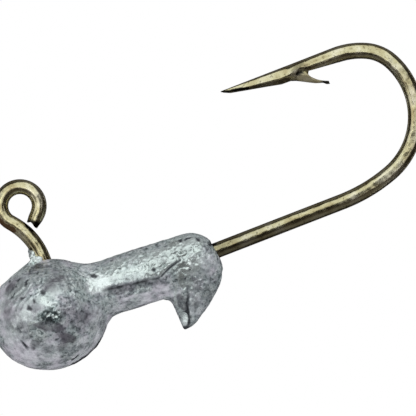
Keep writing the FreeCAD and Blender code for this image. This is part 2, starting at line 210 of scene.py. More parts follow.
# the sheared end is hollow in its middle and ragged at its rim. It is closed by four
# smaller rings, each with its share of the wire's size and how far it is sunk
along = np.array((math.cos(headings[0]), 0, math.sin(headings[0])))
middle = rings[0].mean(axis=0)
tilt = np.interp(np.cos(corner), (-1, -0.3, 0.1, 0.5, 1), (0.42, 0.36, 0.2, 0.1, 0.16))
tooth_height, teeth = 0.02, 5
rim = tooth_height * np.cos(teeth * corner) - tilt
face = []
for share, sunk in ((0.04, 0.1), (0.45, 0.09), (0.8, 0.05), (0.95, 0.02)):
    offset = (sunk + share * rim)[:, None] * along
    face.append(middle + (rings[0] - middle) * share + offset)
slanted = 6
for i in range(slanted):
    rings[i] += (rim * (1 - i / slanted))[:, None] * along
rings = np.concatenate([np.array(face), rings])
run_along = np.concatenate([np.zeros(len(face)), far])


def skin(name, rings, run=None):
    """A closed mesh over a row of rings, with a map of distance along and round it."""
    count, corners = rings.shape[:2]
    place = np.arange(count * corners).reshape(count, corners)
    after = np.roll(place, -1, axis=1)
    quads = np.stack([place[:-1], after[:-1], after[1:], place[1:]], axis=2).reshape(-1, 4)
    ends = [place[0][::-1].tolist(), place[-1].tolist()]
    mesh = bpy.data.meshes.new(name)
    mesh.from_pydata(rings.reshape(-1, 3).tolist(), [], quads.tolist() + ends)
    if run is not None:
        wire_map = mesh.uv_layers.new(name="wire_run")
        girth = 2 * math.pi * wire_radius
        steps, turns = np.indices((count - 1, corners))
        u = np.stack([run[steps], run[steps], run[steps + 1], run[steps + 1]], axis=2)
        v = np.stack([turns, turns + 1, turns + 1, turns], axis=2) * girth / corners
        flat_map = np.zeros((len(mesh.loops), 2))
        flat_map[: u.size] = np.stack([u.ravel(), v.ravel()], axis=1)
        wire_map.data.foreach_set("uv", flat_map.ravel())
    mesh.validate()
    return mesh


def shown(name, mesh):
    """Puts a mesh into the scene as an object."""
    piece = bpy.data.objects.new(name, mesh)
    bpy.context.scene.collection.objects.link(piece)
    return piece


wire = shown("bronzed_hook", skin("bronzed_hook", rings, run_along))

# The barb is a sliver of the wire, cut from below with a chisel and bent away. Its lower
# face is the wire's old surface, its upper face is the flat cut.
# Each row: position along X, top, bottom, half width.
barb_rows = [
    (19.45, 1.72, 1.36, 0.20),
    (19.80, 1.66, 1.20, 0.30),
    (20.10, 1.62, 1.09, 0.37),
    (20.45, 1.60, 0.90, 0.42),
    (20.75, 1.58, 0.71, 0.43),
    (20.98, 1.42, 0.58, 0.42),
    (21.14, 1.06, 0.50, 0.39),
    (21.40, 0.78, 0.41, 0.31),
    (21.65, 0.58, 0.33, 0.22),
    (21.88, 0.43, 0.18, 0.17),
    (22.10, 0.33, 0.11, 0.14),
]


def through(rows, parts):
    """More rows between the given ones, on a smooth curve through them all."""
    rows = np.asarray(rows, float)
    ends = np.concatenate([[2 * rows[0] - rows[1]], rows, [2 * rows[-1] - rows[-2]]])
    found = []
    for i in range(1, len(rows)):
        a, b, c, d = ends[i - 1 : i + 3]
        for t in np.arange(parts) / parts:
            found.append(
                0.5 * (2 * b + (c - a) * t + (2 * a - 5 * b + 4 * c - d) * t * t)
                + 0.5 * (3 * b - a - 3 * c + d) * t**3
            )
    return np.array(found + [rows[-1]])


# "sideways" goes across each ring of the barb and "lift" up it, to the flat cut on top.
# The cut leans back in the middle of the barb
barb_corners, cut_height, cut_edge, barb_lean = 28, 0.45, 0.05, 0.16
barb_corner = np.arange(barb_corners) * 2 * math.pi / barb_corners
sideways, lift = np.cos(barb_corner), np.sin(barb_corner)
lift = np.where(lift > 0, below(lift, cut_height, cut_edge), lift)
lift = (lift - lift.min()) / (lift.max() - lift.min())
barb_rings = []
for x, top, bottom, half in through(barb_rows, 4):
    leaning = ease(x, 20.3, 21.0) * (1 - ease(x, 21.5, 22.0))
    back = barb_lean * (lift - 0.5) * leaning
    barb_rings.append(np.stack([x - back, half * sideways, bottom + (top - bottom) * lift], axis=1))
barb = shown("barb", skin("barb", np.array(barb_rings)))


def settle(piece):
    """Puts a piece's modifiers into its mesh."""
    made = bpy.data.meshes.new_from_object(
        piece.evaluated_get(bpy.context.evaluated_depsgraph_get())
    )
    piece.modifiers.clear()
    old, piece.data = piece.data, made
    bpy.data.meshes.remove(old)
    made.name = piece.name


def drop(piece):
    """Takes away a piece that is now part of another."""
    mesh = piece.data
    bpy.data.objects.remove(piece)
    bpy.data.meshes.remove(mesh)


def to_metres(mesh):
    """Ends a mesh: millimetres to metres, and smooth shading."""
    mesh.transform(Matrix.Scale(mm, 4))
    mesh.shade_smooth()
    mesh.update()


join = wire.modifiers.new("barb", "BOOLEAN")
join.operation = "UNION"
join.solver = "EXACT"
join.object = barb
settle(wire)
drop(barb)


def read(mesh):
    """The points of a mesh and the way each faces."""
    count = len(mesh.vertices)
    points, normals = np.empty(count * 3), np.empty(count * 3)
    mesh.vertices.foreach_get("co", points)
    mesh.vertex_normals.foreach_get("vector", normals)
    return points.reshape(-1, 3), normals.reshape(-1, 3)


def rough(points, size, octaves=1, shift=0.0):
    """Noise from about -1 to 1 whose bumps are size mm across. A shift gives other noise."""
    scaled = points / size + shift
    return np.array([noise.fractal(Vector(p), 1.0, 2.0, octaves) for p in scaled])


def near_line(points, line):
    """Distance in the hook's plane from a broken line of (x, z) places."""
    flat = points[:, (0, 2)]
    best = np.full(len(points), 9.0)
    for a, b in zip(np.array(line[:-1], float), np.array(line[1:], float)):
        share = np.clip(((flat - a) @ (b - a)) / ((b - a) @ (b - a)), 0, 1)
        best = np.minimum(best, np.linalg.norm(flat - a - share[:, None] * (b - a), axis=1))
    return best


def streak(points, line, solid, gone, strength=1.0, ragged=0.0):
    """A mark along a line: its full strength up to solid mm from it, and 0 past gone mm."""
    return strength * (1 - ease(near_line(points, line) + ragged, solid, gone))


def note(mesh, name, values):
    """Keeps one number for each point of a mesh, for its material to read."""
    kept = mesh.attributes.new(name, "FLOAT", "POINT")
    kept.data.foreach_set("value", np.asarray(values, np.float32))


points = read(wire.data)[0]
x, y, z = points.T
uneven = 0.12 * rough(points, 0.35, 3, 2.6)

# hardening left soot on the sheared end and along the top of the tip, and the shank is
# duller towards the lead
past_end = (points[:, (0, 2)] - start) @ along[[0, 2]]
neck_line = path[(far > eye_end - 1) & (far < eye_end + 3)][::6]
off_neck = near_line(points, neck_line) > wire_radius + 0.035
end_reach = 0.9
at_end = (np.hypot(x - middle[0], z - middle[2]) < end_reach) & off_neck
soot_and_shade = at_end * (1 - ease(past_end + uneven, 0.03, 0.14))
soot_and_shade = np.maximum(soot_and_shade, (z > 1.9) * (1 - ease(x + uneven, 15.35, 15.8)))
duller_near_lead = 0.2 * (1 - ease(x + 2 * uneven, 13, 17)) + 0.15 * (1 - ease(x + uneven, 11.2, 12.8))
soot_and_shade = np.maximum(soot_and_shade, duller_near_lead * (z < -6))
# there are streaks of it on the barb's tip and above the corner behind the barb, and painted
# shade under the tip, in the hollow at the corner behind the barb and where the wire leaves
# the lead, partly dirt there. Each is a line, how far beside it the soot or shade is solid,
# where it is gone, its strength and how ragged it is
for line, solid, gone, strength, ragged in (
    ([(10.7, -6.96), (11.08, -6.98)], 0.13, 0.26, 1, 0.5),
    ([(15.4, 2.13), (16.07, 2.02), (16.92, 1.84)], 0.065, 0.13, 1, 0.5),
    ([(21.8, 0.34), (22.2, 0.2)], 0.12, 0.24, 1, 0.5),
    ([(20.3, 1.5), (20.62, 1.52)], 0.085, 0.17, 1, 0.5),
    ([(20.62, 1.45), (21.0, 1.7)], 0.035, 0.07, 1, 0.5),
    ([(20.2, 1.8), (20.7, 1.98)], 0.12, 0.3, 0.5, 1),
):
    soot_and_shade = np.maximum(soot_and_shade, streak(points, line, solid, gone, strength, ragged * uneven))
note(wire.data, "soot_and_shade", np.clip(soot_and_shade, 0, 1))

# rust has started under the eye, down the neck and on the barb
rust = 0
for line, solid, gone, strength, ragged in (
    ([(-1.75, -0.1), (-1.5, -0.8), (-1.1, -1.3)], 0.2, 0.36, 1.3, 1),
    ([(-0.9, -1.45), (-0.45, -2.6)], 0.12, 0.3, 0.45, 1),
    ([(20.6, 1.15), (21.7, 0.45)], 0.3, 0.4, 0.55, 1),
    ([(20.95, 1.8), (21.1, 1.82)], 0.04, 0.12, 0.6, 0),
):
    rust = rust + streak(points, line, solid, gone, strength, ragged * uneven)
rust = rust * (0.95 + 0.3 * rough(points, 0.5, 3, 8.8))
note(wire.data, "rust", np.clip(rust, 0, 1))
to_metres(wire.data)
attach(wire, "root")
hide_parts("jig_hook")


def paint(hex_code):
    """An sRGB hex colour as linear values."""
    parts = [int(hex_code[i : i + 2], 16) / 255 for i in (1, 3, 5)]
    return [p / 12.92 if p <= 0.04045 else ((p + 0.055) / 1.055) ** 2.4 for p in parts] + [1]


def add(tree, kind, inputs=(), stops=(), **settings):
    """Adds one node. inputs gives each socket a value or the output that feeds it."""
    made = tree.nodes.new("ShaderNode" + kind)
    for name, value in settings.items():
        setattr(made, name, value)
    for socket, value in dict(inputs).items():
        if isinstance(value, bpy.types.NodeSocket):
            tree.links.new(value, made.inputs[socket])
        else:
            made.inputs[socket].default_value = value
    for i, (position, colour) in enumerate(stops):
        stop = made.color_ramp.elements[i] if i < 2 else made.color_ramp.elements.new(position)
        stop.position = position
        stop.color = paint(colour)
    return made


def new_material(name):
    """An empty material and its node tree."""
    material = bpy.data.materials.new(name)
    material.use_nodes = True
    material.node_tree.nodes.clear()
    return material, material.node_tree


# Bronzed steel: a thin brown-yellow lacquer baked over drawn, polished wire. It gives
# straw-coloured highlights, olive in the shade, and faint marks along the wire.
bronze, tree = new_material("bronzed_drawn_steel_wire")
place = add(tree, "TexCoord").outputs["Object"]
wire_run = add(tree, "UVMap", uv_map="wire_run").outputs["UV"]
noted = {
    name: add(tree, "Attribute", attribute_name=name).outputs["Fac"] for name in ("rust", "soot_and_shade")
}
# drawing marks 4 mm long, drawn as coarse as 0.1 mm apart round the wire so that they show
mark_length, mark_gap = 4.0, 0.1
stretched = add(
    tree, "Mapping", {"Vector": wire_run, "Scale": (1 / mark_length, 1 / mark_gap, 1)}
)
streaks = add(
    tree, "TexNoise", {"Vector": stretched.outputs["Vector"], "Scale": 1.0, "Detail": 3.0}
)
# the lacquer gathers in cloudy patches about 1 mm across
clouds = add(
    tree,
    "TexNoise",
    {"Vector": place, "Scale": 0.9 / mm, "Detail": 5.0, "Roughness": 0.6},
).outputs["Fac"]
gathered = add(
    tree, "Mix", {"Factor": 0.25, 2: clouds, 3: streaks.outputs["Fac"]}, data_type="FLOAT"
).outputs[0]
lacquer = add(
    tree,
    "ValToRGB",
    {"Fac": gathered},
    stops=((0.33, "#aa9c74"), (0.5, "#d3cca5"), (0.62, "#ece6ca")),
)
# dark specks about 0.1 mm across, where the lacquer has pinholes
grit = add(tree, "TexNoise", {"Vector": place, "Scale": 7 / mm, "Detail": 2.0})
specks = add(
    tree, "ValToRGB", {"Fac": grit.outputs["Fac"]}, stops=((0.28, "#5a5036"), (0.42, "#ffffff"))
)
# specks, brown rust, and soot with some painted shade, lie over the lacquer
tone = lacquer.outputs["Color"]
for share, colour, how in (
    (0.7, specks.outputs["Color"], "MULTIPLY"),
    (noted["rust"], paint("#46341f"), "MIX"),
    (noted["soot_and_shade"], paint("#1d1b15"), "MIX"),
):
    laid = {"Factor": share, 6: tone, 7: colour}
    tone = add(tree, "Mix", laid, data_type="RGBA", blend_type=how).outputs[2]
fine_bump = add(tree, "Bump", {"Strength": 0.35, "Distance": 0.02 * mm, "Height": gathered})
# bending left the wire slightly uneven, in waves 0.8 mm long
waves = add(tree, "TexNoise", {"Vector": place, "Scale": 1.2 / mm, "Detail": 1.0})
wave_bump = add(
    tree,
    "Bump",
    {
        "Strength": 1.0,
        "Distance": 0.07 * mm,
        "Height": waves.outputs["Fac"],
        "Normal": fine_bump.outputs["Normal"],
    },
)
# rust isn't metal, and the lacquer is a little duller where it is pale
metal = add(tree, "Math", {0: noted["rust"], 1: -0.85, 2: 1.0}, operation="MULTIPLY_ADD")
gloss = add(
    tree,
    "MapRange",
    {"Value": clouds, "From Min": 0.3, "From Max": 0.7, "To Min": 0.15, "To Max": 0.27},
)
shader = add(
    tree,
    "BsdfPrincipled",
    {
        "Base Color": tone,
        "Metallic": metal.outputs[0],
        "Roughness": gloss.outputs["Result"],
        "Normal": wave_bump.outputs["Normal"],
    },
)
add(tree, "OutputMaterial", {"Surface": shader.outputs["BSDF"]})
wire.data.materials.clear()
wire.data.materials.append(bronze)


# --- Head: the casting ----------------------------------------------------------------
# Lead poured round the wire in a two-part mould: a ball, a collar that the soft bait is
# pulled over, and a keeper spur. It comes out with a cut gate, a parting line along the
# hook's plane, folds, pits and a rag of flash where the lead crept up the wire.

# places on the head are in millimetres from the ball's centre, until the head is done
ball_centre = np.array((-0.76, 0, -7.44))
ball_half_length, ball_half_width = 3.95, 3.63
ball_ring_count, ball_pole = 60, 0.02


def oval_ring(front, back, half, corners=72, power=1.0):
    """A ring whose highest point is front and lowest is back, each as (x, z)."""
    angle = np.arange(corners) * 2 * math.pi / corners
    rise = np.cos(angle)
    sideways = np.sign(np.sin(angle)) * np.abs(np.sin(angle)) ** power
    front, back = np.array(front), np.array(back)
    centre, arm = (front + back) / 2, (front - back) / 2
    flat = centre + rise[:, None] * arm
    return np.stack([flat[:, 0], half * sideways, flat[:, 1]], axis=1)


ball_rings = []
for part in np.linspace(ball_pole, math.pi - ball_pole, ball_ring_count):
    x, r = -ball_half_length * math.cos(part), ball_half_width * math.sin(part)
    ball_rings.append(oval_ring((x, r), (x, -r), r))

# collar rows: top x, top z, bottom x, bottom z, half width
collar_rows = [
    (0.90, 3.25, 0.90, -3.20, 3.2),
    (1.92, 3.10, 1.92, -2.92, 2.98),
    (2.75, 2.64, 2.75, -2.45, 2.50),
    (3.25, 2.38, 3.30, -2.02, 2.16),
    (3.75, 2.20, 3.80, -1.70, 1.96),
    (4.45, 2.10, 4.45, -1.59, 1.88),
    (5.40, 2.08, 5.40, -1.64, 1.85),
    (6.60, 2.04, 6.60, -1.70, 1.84),
    (7.77, 1.93, 7.77, -1.78, 1.82),
    (9.00, 1.86, 9.10, -1.80, 1.80),
    (9.90, 1.80, 10.10, -1.80, 1.77),
    (10.62, 1.68, 10.95, -1.78, 1.70),
    (11.10, 1.44, 11.45, -1.68, 1.52),
    (11.44, 1.12, 11.74, -1.42, 1.22),
    (11.68, 0.74, 11.86, -1.05, 0.84),
    (11.80, 0.25, 11.88, -0.55, 0.34),
]
# keeper rows, from inside the collar down to the tip: front x, front z, back x, back z,
# half width. Its sides are squarer than an oval
keeper_rows = [
    (7.30, -0.90, 11.60, -0.40, 1.30),
    (7.38, -1.74, 11.72, -1.20, 1.22),
    (7.73, -1.98, 11.65, -1.54, 1.17),
    (7.85, -2.27, 11.50, -1.88, 1.10),
    (7.87, -2.80, 10.90, -2.50, 0.98),
    (7.90, -3.25, 10.30, -3.00, 0.84),
    (7.90, -3.65, 9.65, -3.47, 0.66),
    (7.92, -3.98, 8.95, -3.92, 0.44),
    (7.98, -4.17, 8.45, -4.15, 0.22),
]
head = shown("cast_head", skin("cast_head", np.array(ball_rings)))
extra = []
for name, rows, power in (("collar", collar_rows, 1.0), ("keeper", keeper_rows, 0.75)):
    ovals = [
        oval_ring((fx, fz), (bx, bz), half, power=power)
        for fx, fz, bx, bz, half in through(rows, 5)
    ]
    extra.append(shown(name, skin(name, np.array(ovals))))


def blob(name, centre, half, turned):
    """A small egg of lead: centre and half sizes in mm, turned in the hook's plane."""
    ovals = []
    for part in np.linspace(0.05, math.pi - 0.05, 12):
        x, r = math.cos(part), math.sin(part)
        ovals.append(oval_ring((x, r), (x, -r), r, corners=16))
    points = np.array(ovals) * np.array(half)
    c, s = math.cos(math.radians(turned)), math.sin(math.radians(turned))
    x, z = points[..., 0] * c - points[..., 2] * s, points[..., 0] * s + points[..., 2] * c
    return shown(name, skin(name, np.stack([x, points[..., 1], z], axis=2) + np.array(centre)))


# the rag of flash on the front of the neck
extra += [
    blob("flash_a", (0.14, -0.10, 3.84), (0.46, 0.42, 0.30), 30),
    blob("flash_b", (0.40, -0.20, 4.12), (0.22, 0.30, 0.34), -20),
    blob("flash_c", (0.26, 0.00, 4.40), (0.10, 0.12, 0.26), -15),
    blob("flash_d", (0.62, -0.42, 3.72), (0.34, 0.20, 0.20), -10),
]
whole = bmesh.new()
for piece in [head] + extra:
    whole.from_mesh(piece.data)
bmesh.ops.recalc_face_normals(whole, faces=whole.faces)
whole.to_mesh(head.data)
whole.free()
for piece in extra:
    drop(piece)

# one skin over them all, in under 200 000 triangles
one_body = head.modifiers.new("one_body", "REMESH")
one_body.mode = "VOXEL"
one_body.voxel_size = 0.0645
soften = head.modifiers.new("soften", "SMOOTH")
soften.factor = 0.5
soften.iterations = 5
settle(head)


def pitted(points, spacing, pit_radius, share, shift=0.0):
    """1 in the middle of scattered pits and 0 outside them."""
    away = 9.0
    found = np.full(len(points), away)
    for i, p in enumerate(points / spacing + shift):
        distances, centres = noise.voronoi(Vector(p))
        if noise.noise(centres[0] * 5.3) < share:
            found[i] = distances[0] * spacing
    return 1 - ease(found, pit_radius * 0.3, pit_radius)


def crushed(points, spacing, shift=0.0):
    """Dents side by side, as in crumpled foil: 0 in each dent and 1 on the ridges between."""
    depth = [noise.voronoi(Vector(p))[0][0] for p in points / spacing + shift]
    return np.clip(np.array(depth) / 0.8, 0, 1)


def facets(points, spacing, shift=0.0):
    """Small flats side by side, each tilted its own way: heights in mm."""
    found = []
    for p in points / spacing + shift:
        centre = noise.voronoi(Vector(p))[1][0]
        tilt = Vector([noise.noise(centre * unlike) for unlike in (5.3, 6.1, 7.7)])
        found.append((Vector(p) - centre).dot(tilt))
    return np.array(found) * spacing


def patch(points, x, z, half_x, half_z, turned=0.0, edge=0.5):
    """1 inside an oval on the front side, by (x, z) in mm, and 0 outside its soft edge."""
    c, s = math.cos(math.radians(turned)), math.sin(math.radians(turned))
    dx, dz = points[:, 0] - x, points[:, 2] - z
    away = np.hypot((dx * c + dz * s) / half_x, (dz * c - dx * s) / half_z)
    return (1 - ease(away, 1 - edge, 1 + edge)) * (1 - ease(points[:, 1], -0.6, 0.2))


points, normals = read(head.data)
x, y, z = points.T
# ragged places give every stain and pit below an uneven edge
astray = 0.14
ragged = points.copy()
ragged[:, 0] += astray * rough(points, 0.5, 3, 11.4)
ragged[:, 2] += astray * rough(points, 0.5, 3, 17.9)
# "out" is how far each point moves out of the smooth shape, in mm. The whole casting is
# a little uneven
out = 0.035 * rough(points, 2.4, 2) + 0.02 * rough(points, 0.9, 2, 7.1)

# the skin froze in small dents, and crumpled under the ball's light patch and at the
# collar's end, where the metal shrank last. A few small bosses on it get painted glints
crumpled = patch(ragged, 0.05, -0.12, 0.75, 0.45, -25, 0.3)
crumpled += 0.25 * patch(ragged, 9.0, 0.5, 1.7, 0.9, 0, 0.5)
crumpled += 0.4 * patch(ragged, 9.3, -1.2, 0.5, 0.6, 0, 0.4)
# each boss: x, z, half length, half height, degrees turned
bosses = (
    (-0.02, 0.02, 0.2, 0.08, 24), (0.35, -0.21, 0.2, 0.08, -31), (-1.2, -0.06, 0.3, 0.07, -1),
    (8.58, 0.34, 0.15, 0.1, 20), (8.3, 0.12, 0.13, 0.08, 40), (9.25, 0.2, 0.13, 0.08, 0),
    (7.66, 0.45, 0.11, 0.09, 0), (9.32, -1.36, 0.16, 0.12, 30), (9.03, -1.33, 0.12, 0.12, 0),
    (9.9, -1.02, 0.12, 0.1, 0), (9.5, -0.75, 0.09, 0.11, 0), (8.85, 0.62, 0.13, 0.08, 0),
)
glints = sum(patch(points, *boss, 0.2) for boss in bosses)
crumpled = np.clip(crumpled - glints, 0, 1)
# large and small dents, flats that sparkle where the skin is crumpled or flecked, and pits
folded = 0.5 * points + 0.5 * ragged
out += (0.025 + 0.08 * crumpled) * (crushed(folded, 0.5, 3.3) - 0.5)
out += (0.013 + 0.05 * crumpled) * (crushed(folded, 0.27, 5.2) - 0.5)
flecked = patch(ragged, 8.7, 0.35, 2.2, 0.75, -3, 0.3)
flecked = np.clip(flecked + patch(ragged, 9.65, -0.8, 0.65, 1.4, -20, 0.3), 0, 1)
on_keeper = patch(ragged, 9.2, -2.5, 1.3, 1.7, -20, 0.3)
facet_slope = 0.08 + 0.45 * flecked + 0.5 * crumpled + 0.25 * on_keeper
out += facet_slope * facets(folded, 0.34, 8.1)
pit_depth = 0.05
pits = 0.8 * pitted(ragged, 0.8, 0.16, -0.1) + 0.5 * pitted(ragged, 0.45, 0.1, -0.2, 4.4)
out -= pit_depth * pits

# the fold along the collar, where the second half of the pour chilled against the
# first: a brow that catches the light and a dark hollow under it
brow_height, fold_depth = 0.08, 0.14
fold_z = np.interp(x, (4.2, 7.6), (0.31, -0.22))
in_fold = ease(x, 3.7, 4.4) * (1 - ease(x, 7.3, 8.0))
above_fold = z - fold_z + 0.03 * rough(points, 0.4, 2, 9.1)
brow = ease(above_fold, -0.05, 0.02) * (1 - ease(above_fold, 0.05, 1.0))
under = ease(above_fold, -0.8, -0.5) * (1 - ease(above_fold, -0.12, 0.0))
out += in_fold * (brow_height * brow - fold_depth * under)
# the shade under the brow is painted, and goes into the hollows' dark colour below
under_brow = np.exp(-(((above_fold + 0.13) / 0.12) ** 2))
shadow = in_fold * (0.5 * under + 0.45 * under_brow) * (0.9 + 0.5 * rough(points, 0.5, 2, 8.3))

# the crease between the keeper's front flank and its rounded back, the flank's raised
# edge, and a diagonal scratch on the collar with its raised lip and a fainter one below
crease_line = [(9.2, -1.55), (8.97, -2.23), (8.72, -2.6), (8.6, -3.15), (8.5, -3.7), (8.4, -3.9)]
flank_edge = [(8.55, -1.2), (8.3, -1.65), (8.1, -2.05), (8.02, -2.4)]
crease = streak(points, crease_line, 0.02, 0.17) * (0.65 + 0.35 * ease(-z, 1.8, 2.4))
edge_line = streak(points, flank_edge, 0.03, 0.13)
scratch = streak(points, [(7.85, -0.3), (8.6, 0.05), (9.36, 0.25)], 0.02, 0.11)
fainter = streak(points, [(8.5, -0.45), (9.05, -0.25), (9.6, -0.3)], 0.02, 0.13)
lip = streak(points, [(7.75, -0.12), (8.5, 0.24), (9.2, 0.42)], 0.03, 0.14)
out += -0.14 * crease - 0.08 * scratch - 0.05 * fainter + 0.03 * lip + 0.05 * edge_line

# the nick at the keeper's tip, which runs out towards its lower end
nick_depth, nick_slope, nick_end = 0.3, 0.45, -3.9
nick = patch(points, 8.2, -3.5, 0.27, 0.45, -12, 0.12)
nick_rim = patch(points, 8.2, -3.62, 0.36, 0.6, -12, 0.2) * (1 - nick)
out -= nick * np.clip(nick_slope * (z - nick_end), 0, nick_depth)

# single holes and dashes: x, z, half length, half height, degrees turned. The first two
# are one deep hole, and most of the others lie in rows across the front of the ball
hole_depth, hole_spread = 0.06, 1.2
holes = (
    (0.17, 1.63, 0.12, 0.14, 0), (0.17, 1.63, 0.1, 0.12, 0), (-0.59, 1.2, 0.07, 0.13, -10),
    (-0.98, 0.92, 0.16, 0.08, -35), (3.72, 1.36, 0.24, 0.08, -42),
    (-2.25, -1.25, 0.3, 0.09, -70), (-1.8, 2.04, 0.22, 0.05, 34), (-1.41, 2.51, 0.09, 0.06, 34),
    (-0.6, 2.57, 0.2, 0.06, 34), (-1.15, 1.7, 0.2, 0.07, 0), (-1.05, 2.89, 0.16, 0.06, 34),
    (-0.12, 3.15, 0.06, 0.14, 0), (-1.61, 3.13, 0.1, 0.08, 0), (7.45, 0.2, 0.12, 0.07, 0),
    (8.6, -0.85, 0.08, 0.1, 0), (9.3, -1.0, 0.1, 0.06, 30), (9.7, -0.6, 0.09, 0.06, 0),
    (11.66, 0.5, 0.16, 0.13, 0), (0.36, 3.3, 0.36, 0.12, -4), (0.6, -3.22, 0.2, 0.05, 4),
    (9.85, 1.52, 0.2, 0.09, -5), (10.4, 1.42, 0.22, 0.08, -15), (10.95, 1.12, 0.16, 0.08, -40),
)
for hx, hz, half_x, half_z, turned in holes:
    hole = patch(ragged, hx, hz, half_x * hole_spread, half_z * hole_spread, turned)
    out -= hole_depth * hole
    pits = np.maximum(pits, hole)

# the gate was cut off with nippers: a flat through this place that leans to the nose,
# with slanting marks 0.3 mm apart
gate_x, gate_z, gate_lean = -2.3, 2.95, math.radians(19.5)
nipper_depth = 0.018
above_gate = (z - gate_z) * math.cos(gate_lean) - (x - gate_x) * math.sin(gate_lean)
nipped = np.sin(20 * (0.83 * z - 0.56 * x) + 3 * rough(points, 1.2, 2, 2.2))
on_gate = (above_gate > -0.02) & (z > 1.8) & (x < 0.1)
gate_facing = (-math.sin(gate_lean), 0, math.cos(gate_lean))
out -= np.where(on_gate, above_gate, 0) / np.maximum(normals @ gate_facing, 0.5)
out += nipper_depth * nipped * patch(points, -1.5, 2.2, 1.3, 1.0, 40)

# the parting line: a thin fin in the hook's plane, most of it rubbed off, and left
# standing under the back of the ball
fin_height, fin_left, fin_width = 0.012, 0.06, 0.06
at_fin = patch(points * (1, 0, 1) - (0, 1, 0), 1.5, -3.3, 1.5, 0.7, 18, 0.25)
fin = (fin_height + fin_left * at_fin) * np.exp(-((y / fin_width) ** 2))
out += fin * (0.7 + 0.5 * rough(points, 0.7, 2, 6.6))

# the lead shrank away from the wire's upper side where it leaves the collar
gap_depth = 0.08
from_wire = np.hypot(y, z + 0.03)
at_exit = ease(x, 11.2, 11.4) * (1 - ease(from_wire, 0.58, 0.75)) * ease(z, 0.1, 0.35)
out -= gap_depth * at_exit

points = points + normals * out[:, None]
head.data.vertices.foreach_set("co", points.ravel())


def patches(*rows):
    """Patches laid side by side: x, z, half length, half height, turned, strength."""
    return sum(row[5] * patch(ragged, *row[:5], 0.22) for row in rows)


# stains are thick lilac oxide, mottled like the rest of the skin. Some are painted shade:
# the dark band across the middle of the ball, the keeper's front flank and the end of the
# collar's fold
mottled = np.clip(0.6 + 0.9 * rough(points, 0.9, 3, 4.7), 0, 1)
stain_and_shade = (1.15 - 0.5 * mottled) * patches(
    (-0.3, -0.66, 0.95, 0.3, -27, 1.05), (0.35, -1.3, 0.35, 0.3, -45, 0.7),
    (0.66, -1.83, 0.5, 0.36, -30, 1.3), (0.05, -0.12, 0.65, 0.36, -25, 0.2),
    (-1.65, -1.5, 0.4, 0.3, 30, 0.6), (-1.8, -0.8, 0.5, 0.22, 0, 0.4),
    (-0.9, -2.0, 0.4, 0.25, 0, 0.35), (0.1, -2.25, 0.45, 0.25, 0, 0.4),
    (1.9, 0.1, 0.6, 1.5, 10, 0.3), (1.5, -0.8, 1.0, 0.6, -20, 0.3), (1.3, 2.7, 1.7, 0.9, 5, 0.4),
    (-1.5, 2.3, 1.0, 0.6, 40, 0.35), (8.48, -2.5, 0.32, 0.75, 4, 1.05),
    (10.2, -2.0, 0.9, 1.2, -32, 0.2), (10.9, 0.4, 0.5, 0.8, 0, 0.3), (0.3, 3.2, 0.8, 0.3, 0, 0.3),
    (3.25, 0.63, 0.4, 0.3, 0, 0.3), (6.0, 1.85, 2.5, 0.25, -2, 0.2),
    (1.4, 1.65, 1.2, 0.5, -15, 0.35), (3.0, 1.05, 0.7, 0.35, -10, 0.3),
    (0.65, 1.5, 0.5, 0.4, 0, 0.25), (0.95, 0.1, 0.5, 0.35, 0, 0.5), (-2.3, 1.0, 0.6, 0.4, 0, 0.45),
    (-0.95, -1.4, 0.5, 0.35, 0, 0.3), (9.9, -2.6, 0.6, 1.0, -25, 0.25),
    (0.0, -2.6, 1.8, 0.6, 0, 0.15), (5.6, -0.45, 1.7, 0.3, -8, 0.25),
    (-1.75, 2.55, 0.4, 0.24, 34, 0.45), (-2.2, 0.3, 0.55, 0.55, 0, 0.35),
    (-1.75, -0.35, 0.45, 0.3, 0, 0.25), (9.75, -1.65, 0.35, 0.3, 0, 0.45),
    (9.15, -2.65, 0.35, 0.45, -20, 0.45), (8.1, 0.78, 0.35, 0.25, 0, 0.5),
    (8.35, 0.35, 0.5, 0.2, 35, 0.6), (9.0, 0.0, 0.6, 0.22, 12, 0.4), (-0.2, 0.9, 0.6, 0.5, 0, 0.2),
    (2.7, -1.45, 0.6, 0.7, 0, 0.35), (5.0, 0.85, 0.4, 0.22, 0, 0.4),
    (7.0, 0.03, 0.45, 0.22, 0, 0.5),
)
# bloom is a pale, chalky film, which gathers where nothing rubs: round the ball's edges,
# under the collar and in the nick. It is partly painted light, which lightens the undersides
# of the ball and collar and the keeper's front flank where they are in shade
bloom_and_painted_light = mottled * patches(
    (-2.8, 1.0, 1.0, 2.0, 15, 0.9), (-1.5, -1.9, 1.5, 0.9, -25, 1.2),
    (1.0, -2.9, 1.5, 0.6, 15, 0.8), (2.9, -1.7, 0.9, 1.2, 0, 0.8), (5.5, -1.15, 1.9, 0.42, -3, 1.0),
    (7.3, -1.2, 0.8, 0.6, 0, 1.0), (8.15, -1.5, 0.5, 0.6, -10, 1.05),
    (11.0, -0.7, 0.6, 0.8, 0, 0.6), (2.6, 2.7, 0.9, 0.3, -15, 0.6), (-0.5, -3.3, 1.5, 0.5, 10, 1.2),
    (-2.5, -2.5, 1.0, 0.6, -45, 1.2), (-3.2, -1.4, 0.5, 0.9, 0, 1.0), (0.95, 3.5, 0.5, 0.4, 0, 0.9),
    (3.35, 1.9, 0.6, 0.4, 0, 0.7), (-1.9, 3.1, 0.9, 0.4, 35, 0.9), (9.2, -2.9, 0.5, 0.95, -20, 0.5),
    (7.0, -1.7, 0.8, 0.25, 0, 1.0), (10.25, -0.1, 0.45, 0.45, 0, 1.4),
)
# painted highlights on the neck and along the fin's edge, and a pale nick that is partly a painted
# highlight
bloom_and_painted_light += 1.5 * nick + patches((3.7, 0.78, 0.75, 0.6, 0, 1.2), (0.85, -3.27, 0.65, 0.09, 14, 1.5))
